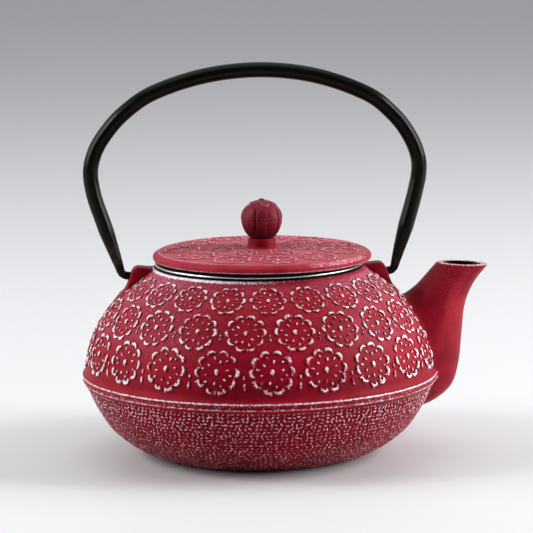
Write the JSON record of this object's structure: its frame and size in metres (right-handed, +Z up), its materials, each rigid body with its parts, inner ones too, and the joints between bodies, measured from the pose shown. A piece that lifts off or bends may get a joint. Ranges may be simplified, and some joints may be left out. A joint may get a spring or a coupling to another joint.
{
  "type": "cast iron teapot",
  "caption": "Round cast iron teapot with a belly flange, curved spout, folding bail handle, knobbed lid and lift-out infuser basket.",
  "frame": {"origin": "centre of the flat base, on the surface the teapot stands on", "axes": "+Z up, +X from the pot's axis towards the spout, +Y to the left of the spout"},
  "size_m": [0.1895, 0.1648, 0.1815],
  "materials": {
    "red_enamel": "matt red enamel with silver-worn relief",
    "burgundy_enamel": "satin burgundy enamel",
    "black_steel": "satin black lacquer",
    "plated_steel": "zinc plated",
    "stainless_steel": "polished",
    "stainless_mesh": "woven mesh"
  },
  "bodies": {
    "pot": {"pot_body": "red_enamel"},
    "handle": {"handle": "black_steel"},
    "basket": {"infuser_rim": "stainless_steel", "infuser_wall": "stainless_mesh", "infuser_base_ring": "stainless_steel", "infuser_base_mesh": "stainless_mesh"},
    "lid": {"lid": "red_enamel", "lid_knob": "burgundy_enamel", "knob_washer": "plated_steel", "knob_screw": "plated_steel"}
  },
  "joints": [
    {"name": "handle_fold", "type": "hinge", "parent": "pot", "child": "handle", "pos_m": [0, 0, 0.0834], "axis": [1, 0, 0], "range_deg": [-115, 115]},
    {"name": "basket_lift", "type": "slide", "parent": "pot", "child": "basket", "axis": [0, 0, 1], "range_m": [0, 0.054]},
    {"name": "lid_lift", "type": "slide", "parent": "basket", "child": "lid", "axis": [0, 0, 1], "range_m": [0, 0.054]}
  ]
}
